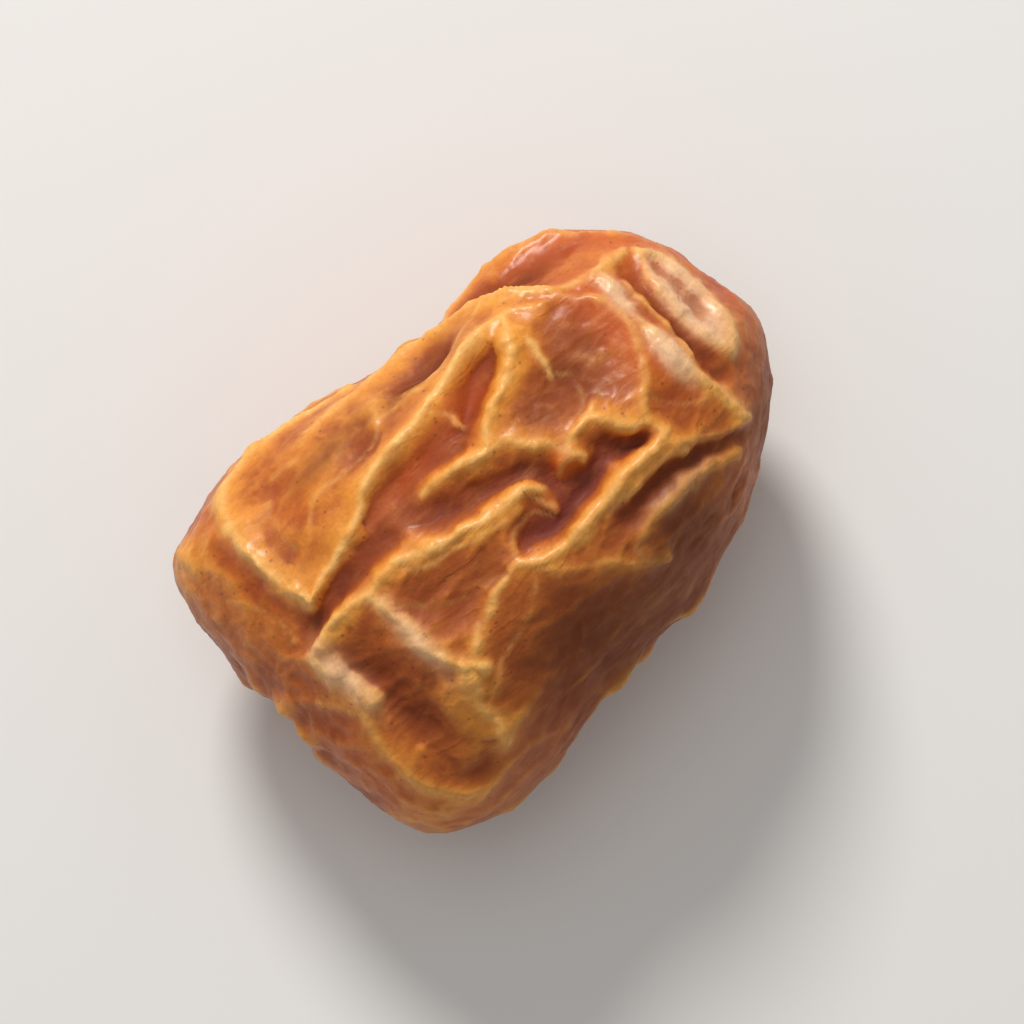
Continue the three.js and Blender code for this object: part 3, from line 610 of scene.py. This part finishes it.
def fine_creasing():
    tree = bpy.data.node_groups.new("fine_skin_creasing", "GeometryNodeTree")
    face = tree.interface
    face.new_socket("Skin", in_out="INPUT", socket_type="NodeSocketGeometry")
    for name, value in FINE_CREASING.items():
        face.new_socket(name, in_out="INPUT", socket_type="NodeSocketFloat").default_value = value
    face.new_socket("Finish", in_out="INPUT", socket_type="NodeSocketMaterial")
    face.new_socket("Skin", in_out="OUTPUT", socket_type="NodeSocketGeometry")
    nodes, wire = tree.nodes, tree.links
    maths, add, take, times = arithmetic_in(tree)
    given = nodes.new("NodeGroupInput")
    result = nodes.new("NodeGroupOutput")

    def vector(operation, a, b=None, scale=None):
        node = nodes.new("ShaderNodeVectorMath")
        node.operation = operation
        fill(tree, node.inputs[0], a)
        fill(tree, node.inputs[1], b)
        fill(tree, node.inputs[3], scale)
        return node.outputs[0]

    def soft_noise(place, spacing, detail, roughness, output="Fac"):
        node = nodes.new("ShaderNodeTexNoise")
        node.noise_dimensions = "4D"
        node.inputs["Detail"].default_value = detail
        node.inputs["Roughness"].default_value = roughness
        wire.new(place, node.inputs["Vector"])
        fill(tree, node.inputs["Scale"], maths("DIVIDE", 1.0, spacing))
        wire.new(given.outputs["Seed"], node.inputs["W"])
        return node.outputs[output]

    place = vector("SCALE", nodes.new("GeometryNodeInputPosition").outputs[0], scale=1 / MM)
    warp = vector("SUBTRACT", soft_noise(place, 2.4, 3.0, 0.6, "Color"), (0.5, 0.5, 0.5))
    warped = vector("ADD", place, vector("SCALE", warp, scale=2.4))
    drawn_out = nodes.new("ShaderNodeCombineXYZ")
    wire.new(given.outputs["Drawn Out"], drawn_out.inputs[0])
    drawn_out.inputs[1].default_value = 1.0
    drawn_out.inputs[2].default_value = 1.0
    warped = vector("MULTIPLY", warped, drawn_out.outputs[0])
    patchy = nodes.new("ShaderNodeMapRange")
    wire.new(soft_noise(place, 5.0, 2.0, 0.5), patchy.inputs["Value"])
    for name, value in (("From Min", 0.35), ("From Max", 0.65), ("To Min", 0.35), ("To Max", 1.3)):
        patchy.inputs[name].default_value = value
    patchy = patchy.outputs[0]

    def sunken_cells(size, depth):
        """Cells that are lowest in the middle and rise to a crease where they meet."""
        node = nodes.new("ShaderNodeTexVoronoi")
        node.voronoi_dimensions = "4D"
        node.feature = "F1"
        wire.new(warped, node.inputs["Vector"])
        fill(tree, node.inputs["Scale"], maths("DIVIDE", 1.0, size))
        wire.new(given.outputs["Seed"], node.inputs["W"])
        return times(take(maths("POWER", node.outputs["Distance"], 1.6), 0.35), depth)

    def wrinkles(spacing, height, shift):
        """Thin raised lines that wander and join, as paper shows when it has been crumpled."""
        moved = vector("ADD", warped, shift)
        away = maths("ABSOLUTE", take(soft_noise(moved, spacing, 1.0, 0.5), 0.5))
        ridge = maths("MAXIMUM", take(1.0, times(away, 7.0)), 0.0)
        return times(take(maths("POWER", ridge, 1.6), 0.2), height)

    cells = times(sunken_cells(given.outputs["Cell Size"], given.outputs["Cell Depth"]), patchy)
    small_cells = sunken_cells(given.outputs["Small Cell Size"], given.outputs["Small Cell Depth"])
    dimples = times(take(soft_noise(place, given.outputs["Dimple Spacing"], 4.0, 0.6), 0.5),
                    times(given.outputs["Dimple Depth"], 2.0))
    wrinkled = times(wrinkles(given.outputs["Wrinkle Spacing"], given.outputs["Wrinkle Height"], (0, 0, 0)),
                     patchy)
    wrinkled = add(wrinkled, wrinkles(given.outputs["Fine Wrinkle Spacing"],
                                      given.outputs["Fine Wrinkle Height"], (7, 3, 5)))
    loose = nodes.new("GeometryNodeInputNamedAttribute")
    loose.data_type = "FLOAT"
    loose.inputs["Name"].default_value = "loose"
    lift = times(add(add(cells, small_cells), add(dimples, wrinkled)), loose.outputs["Attribute"])
    lift = times(lift, MM)
    move = nodes.new("GeometryNodeSetPosition")
    wire.new(given.outputs["Skin"], move.inputs["Geometry"])
    outwards = nodes.new("GeometryNodeInputNormal").outputs[0]
    wire.new(vector("SCALE", outwards, scale=lift), move.inputs["Offset"])
    realize = nodes.new("GeometryNodeRealizeInstances")
    wire.new(move.outputs[0], realize.inputs[0])
    coat = nodes.new("GeometryNodeSetMaterial")
    wire.new(realize.outputs[0], coat.inputs["Geometry"])
    wire.new(given.outputs["Finish"], coat.inputs["Material"])
    wire.new(coat.outputs[0], result.inputs[0])
    return tree


# ---- The finish: golden skin, paler where it is creased sharp (partly a painted highlight), red-brown and plum where it sinks (partly painted shade) ----
# colours from raised to sunk skin; the darker end stands partly for painted shade in the hollows
RAISED_TO_SUNK = ((0.0, "F0A444"), (0.2, "E08A34"), (0.34, "CA6E28"), (0.48, "B05820"), (0.62, "9E4A1C"),
                  (0.8, "8E3E1A"), (1.0, "7A3218"))
GOLD = "EE9C38"
# saturated orange, partly painted shade behind the panel rim
AMBER_AND_SHADE = "C85212"
# plum, partly painted shade in the deep hollows
PLUM_AND_SHADE = "6E2A2A"
# dark brown, partly painted shade
UMBER_AND_SHADE = "5E2C14"
# painted shade on the flanks and underside
FLANK_SHADE_BROWN = "7E361C"
STREAK_GOLD = "E89E48"
# painted shade in the nick beside a crease
NICK_SHADE = "6A2A14"
# pale crease and crest colours: partly painted highlight
CREASE_GOLD = "F0A24A"
CREST_PALE = "FCC674"
# pale colour for the painted glints and the paler folds
GLINT_PALE = "F2C8A2"
SCAR_BROWN = "6A3C20"
FRECKLE_BROWN = "7A3A18"
GRAIN_BROWN = "8A4A20"
FRECKLE_SPACING = 0.62
COAT_ROUGHNESS = 0.2
BUMP_HEIGHT = 0.09


def colour(text):
    """A colour given as the usual six digits, as linear light."""
    parts = [int(text[i:i + 2], 16) / 255 for i in (0, 2, 4)]
    return tuple(c / 12.92 if c <= 0.04045 else ((c + 0.055) / 1.055) ** 2.4 for c in parts) + (1.0,)


def date_finish():
    material = bpy.data.materials.new("date_skin")
    material.use_nodes = True
    tree = material.node_tree
    nodes, wire = tree.nodes, tree.links
    maths, add, take, times = arithmetic_in(tree)
    shader = nodes["Principled BSDF"]
    place = nodes.new("ShaderNodeTexCoord").outputs["Object"]

    def attribute(name):
        node = nodes.new("ShaderNodeAttribute")
        node.attribute_name = name
        return node.outputs["Fac"]

    def soft_noise(spacing, detail=4.0, roughness=0.55, stretch=None, distortion=0.0):
        """Noise with this spacing in millimetres."""
        node = nodes.new("ShaderNodeTexNoise")
        node.inputs["Scale"].default_value = 1000 / spacing
        node.inputs["Detail"].default_value = detail
        node.inputs["Roughness"].default_value = roughness
        node.inputs["Distortion"].default_value = distortion
        source = place
        if stretch:
            mapping = nodes.new("ShaderNodeMapping")
            mapping.inputs["Scale"].default_value = stretch
            wire.new(place, mapping.inputs["Vector"])
            source = mapping.outputs[0]
        wire.new(source, node.inputs["Vector"])
        return node.outputs["Fac"]

    def spread(value, low, high, to_low=0.0, to_high=1.0):
        node = nodes.new("ShaderNodeMapRange")
        node.interpolation_type = "SMOOTHSTEP"
        wire.new(value, node.inputs["Value"])
        for name, number in (("From Min", low), ("From Max", high),
                             ("To Min", to_low), ("To Max", to_high)):
            node.inputs[name].default_value = number
        return node.outputs["Result"]

    def tinted(under, share, tint):
        node = nodes.new("ShaderNodeMix")
        node.data_type = "RGBA"
        node.clamp_result = True
        wire.new(share, node.inputs[0])
        wire.new(under, node.inputs[6])
        node.inputs[7].default_value = colour(tint)
        return node.outputs[2]

    mottle = soft_noise(4.5, 5, 0.6)
    blotch = soft_noise(1.5, 4, 0.6, distortion=0.4)
    grain = soft_noise(0.32, 3, 0.6)
    streak = soft_noise(1.0, 4, 0.6, stretch=(0.3, 1, 1))
    bend = attribute("bend")
    umber_and_shade = attribute("umber_and_shade")
    glint_and_pale = attribute("glint_and_pale")

    # how far the skin has sunk or stands up, with an uneven edge to it. Sunk skin turns red-brown along the
    # ramp: partly its own colour where it lies on the flesh, partly painted shade in the hollows
    depth = add(attribute("sunk"), times(take(blotch, 0.5), 0.35))
    depth = add(depth, times(take(mottle, 0.5), 0.25))
    high = spread(depth, 0.3, 0.6, 1.0, 0.0)
    deep = spread(depth, 0.45, 0.75, 0.0, 1.0)
    depth_colours = nodes.new("ShaderNodeValToRGB")
    wire.new(depth, depth_colours.inputs["Fac"])
    stops = depth_colours.color_ramp.elements
    stops[0].color = colour(RAISED_TO_SUNK[0][1])
    stops[1].color = colour(RAISED_TO_SUNK[-1][1])
    for position, shade in RAISED_TO_SUNK[1:-1]:
        stops.new(position).color = colour(shade)
    skin_colour = depth_colours.outputs["Color"]

    # zones of colour: the fruit's own tones, with painted shade mixed into the amber, plum and umber zones
    # and on the flanks
    skin_colour = tinted(skin_colour, times(attribute("gold"), times(high, 0.75)), GOLD)
    skin_colour = tinted(skin_colour, times(attribute("amber_and_shade"), 0.8), AMBER_AND_SHADE)
    skin_colour = tinted(skin_colour, times(attribute("plum_and_shade"), times(deep, 0.7)), PLUM_AND_SHADE)
    skin_colour = tinted(skin_colour, times(umber_and_shade, 0.7), UMBER_AND_SHADE)
    # painted shade: the flanks and underside darker brown
    skin_colour = tinted(skin_colour, times(attribute("flank_shade"), 0.4), FLANK_SHADE_BROWN)
    skin_colour = tinted(skin_colour, spread(streak, 0.5, 0.8, 0.0, 0.22), STREAK_GOLD)

    # stretched thin over a crease, the skin is paler, and the pale line is partly a painted highlight. It
    # darkens in the nick beside one, as painted shade
    skin_colour = tinted(skin_colour, spread(bend, -0.15, -0.9, 0.0, 0.12), NICK_SHADE)
    crease = times(spread(bend, 0.06, 0.6), add(0.45, times(attribute("crease"), 0.55)))
    crease = times(crease, spread(soft_noise(1.6, 4, 0.65), 0.35, 0.62, 0.12, 0.68))
    skin_colour = tinted(skin_colour, crease, CREASE_GOLD)
    crest = times(attribute("crest"), spread(soft_noise(1.3, 3, 0.6), 0.32, 0.58, 0.2, 1.0))
    skin_colour = tinted(skin_colour, crest, CREST_PALE)
    # painted highlight: pale glints on the cross folds near the tip, and paler folds elsewhere
    skin_colour = tinted(skin_colour, times(glint_and_pale, spread(depth, 0.25, 0.55, 0.8, 0.25)), GLINT_PALE)
    skin_colour = tinted(skin_colour, times(attribute("scar"), 0.8), SCAR_BROWN)

    # freckles, on the skin between creases
    freckle_cells = nodes.new("ShaderNodeTexVoronoi")
    freckle_cells.inputs["Scale"].default_value = 1000 / FRECKLE_SPACING
    wire.new(place, freckle_cells.inputs["Vector"])
    chosen = nodes.new("ShaderNodeSeparateColor")
    wire.new(freckle_cells.outputs["Color"], chosen.inputs[0])
    freckle = times(spread(freckle_cells.outputs["Distance"], 0.1, 0.26, 1.0, 0.0),
                    spread(chosen.outputs[0], 0.55, 0.75))
    freckle = times(freckle, spread(bend, 0.0, 0.5, 1.0, 0.1))
    skin_colour = tinted(skin_colour, times(freckle, 0.5), FRECKLE_BROWN)
    skin_colour = tinted(skin_colour, spread(grain, 0.35, 0.7, 0.0, 0.16), GRAIN_BROWN)
    wire.new(skin_colour, shader.inputs["Base Color"])

    # a soft waxy shine, duller where the skin has sunk and on the brown flank
    dullness = add(spread(blotch, 0.3, 0.7, 0.36, 0.52), times(grain, 0.1))
    dullness = take(dullness, times(glint_and_pale, 0.1))
    dullness = add(dullness, times(deep, 0.18))
    dullness = add(dullness, times(umber_and_shade, 0.14))
    wire.new(dullness, shader.inputs["Roughness"])
    coat = times(spread(depth, 0.4, 0.75, 0.2, 0.02), spread(umber_and_shade, 0.0, 0.6, 1.0, 0.2))
    wire.new(coat, shader.inputs["Coat Weight"])
    shader.inputs["Coat Roughness"].default_value = COAT_ROUGHNESS
    shader.inputs["Subsurface Weight"].default_value = 0.08
    shader.inputs["Subsurface Radius"].default_value = (1.0, 0.42, 0.16)
    shader.inputs["Subsurface Scale"].default_value = MM
    shader.inputs["IOR"].default_value = 1.46
    shader.inputs["Specular IOR Level"].default_value = 0.32

    # the finest wrinkles, drawn out along the fruit
    away = maths("ABSOLUTE", take(soft_noise(1.5, 2, 0.5, stretch=(0.45, 1, 1), distortion=0.6), 0.5))
    thread = maths("POWER", spread(away, 0.0, 0.2, 1.0, 0.0), 1.5)
    rough_height = add(times(grain, 0.6), soft_noise(0.7, 4, 0.65))
    rough_height = add(rough_height, times(thread, 0.5))
    rough_height = take(rough_height, times(freckle, 0.25))
    bump = nodes.new("ShaderNodeBump")
    bump.inputs["Strength"].default_value = 0.55
    bump.inputs["Distance"].default_value = BUMP_HEIGHT * MM
    wire.new(rough_height, bump.inputs["Height"])
    wire.new(bump.outputs[0], shader.inputs["Normal"])
    return material


creasing = date_skin.modifiers.new("fine creasing", "NODES")
creasing.node_group = fine_creasing()
for socket in creasing.node_group.interface.items_tree:
    if socket.in_out == "INPUT" and socket.name == "Finish":
        creasing[socket.identifier] = date_finish()
skin_mesh = bpy.data.meshes.new_from_object(date_skin.evaluated_get(bpy.context.evaluated_depsgraph_get()))
skin_mesh.name = "date_fruit_skin"
date_skin.modifiers.clear()
date_skin.data = skin_mesh

# ---- How far each point of the finished skin stands up or has sunk, and how sharply it bends ----
CLOSE_PASSES = 3
NEAR_PASSES = 12
FAR_PASSES = 150
FULL_BEND = 0.12
SUNK_MIDDLE = 0.52
SUNK_GAIN = 1.15

made = np.empty(3 * count, np.float32)
skin_mesh.vertices.foreach_get("co", made)
made = made.reshape(-1, 3).astype(float) / MM
made_normal, _ = corner_normals(made)


def eased(points, passes):
    return np.column_stack([soften(points[:, axis], passes) for axis in range(3)])


close = eased(made, CLOSE_PASSES)
near = eased(close, NEAR_PASSES)
far = eased(near, FAR_PASSES)
bend = ((close - near) * made_normal).sum(axis=1)
sunk = ((far - made) * made_normal).sum(axis=1)
# close beside a crease the painted shade of the sunk skin is eased off
beside_crest = 0.14 * paleness * np.exp(-(line_away / 0.9) ** 2)
mark(skin_mesh, "bend", np.clip(bend / FULL_BEND, -1, 1))
mark(skin_mesh, "sunk", np.clip(SUNK_MIDDLE + SUNK_GAIN * sunk - beside_crest, 0, 1))

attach(date_skin, "root")
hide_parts("date_fruit")

# ======================================================================================================
# THE STAGE. A plain pale board that the fruit lies on, one broad soft lamp from over the far side,
# a weaker one overhead and a pale room all round.
# ======================================================================================================
BOARD_HALF = 1.5
board_mesh = bpy.data.meshes.new("pale_board")
board_corners = [(x * BOARD_HALF, y * BOARD_HALF, 0) for x, y in ((-1, -1), (1, -1), (1, 1), (-1, 1))]
board_mesh.from_pydata(board_corners, [], [(0, 1, 2, 3)])
board = bpy.data.objects.new("pale_board", board_mesh)
scene.collection.objects.link(board)
board_paint = bpy.data.materials.new("pale_board")
board_paint.use_nodes = True
board_shader = board_paint.node_tree.nodes["Principled BSDF"]
board_shader.inputs["Base Color"].default_value = (0.86, 0.86, 0.86, 1)
board_shader.inputs["Roughness"].default_value = 0.7
board_mesh.materials.append(board_paint)

# ---- The view: almost straight down, with the fruit's tip towards the upper right ----
VIEW_TURN = math.radians(42.2)
VIEW_LEAN = math.radians(3.5)
CAMERA_AWAY = 0.32
UP = Vector((0, 0, 1))
right = Vector((math.cos(VIEW_TURN), -math.sin(VIEW_TURN), 0))
far_side = Vector((math.sin(VIEW_TURN), math.cos(VIEW_TURN), 0))
look_at = Vector((0, 0, 0.011))


def aim(thing, start):
    """Set a lamp or the camera at its start, looking at the middle of the fruit."""
    back = (start - look_at).normalized()
    across = far_side.cross(back).normalized()
    turned = Matrix((across, back.cross(across), back)).transposed()
    thing.matrix_world = Matrix.Translation(start) @ turned.to_4x4()


camera_data = bpy.data.cameras.new("camera")
camera_data.lens = 180
camera_data.sensor_width = 36
camera = bpy.data.objects.new("camera", camera_data)
scene.collection.objects.link(camera)
aim(camera, look_at + CAMERA_AWAY * (math.cos(VIEW_LEAN) * UP - math.sin(VIEW_LEAN) * far_side))
scene.camera = camera


# ---- The lamps, placed to the right, to the far side and upwards from the middle of the fruit ----
def lamp(name, sideways, away, up, size, power, tint):
    light = bpy.data.lights.new(name, "AREA")
    light.shape = "DISK"
    light.size = size
    light.energy = power
    light.color = tint
    thing = bpy.data.objects.new(name, light)
    scene.collection.objects.link(thing)
    aim(thing, look_at + away * far_side + sideways * right + up * UP)


lamp("far_lamp", -0.14, 0.42, 0.35, size=0.16, power=2.5, tint=(1.0, 0.96, 0.91))
lamp("overhead_lamp", -0.1, 0.1, 0.6, size=0.4, power=0.45, tint=(1.0, 0.98, 0.95))

room = bpy.data.worlds.new("pale_room")
room.use_nodes = True
room_light = room.node_tree.nodes["Background"]
room_light.inputs["Color"].default_value = (1.0, 0.97, 0.93, 1)
room_light.inputs["Strength"].default_value = 0.32
scene.world = room
scene.view_settings.view_transform = "Standard"
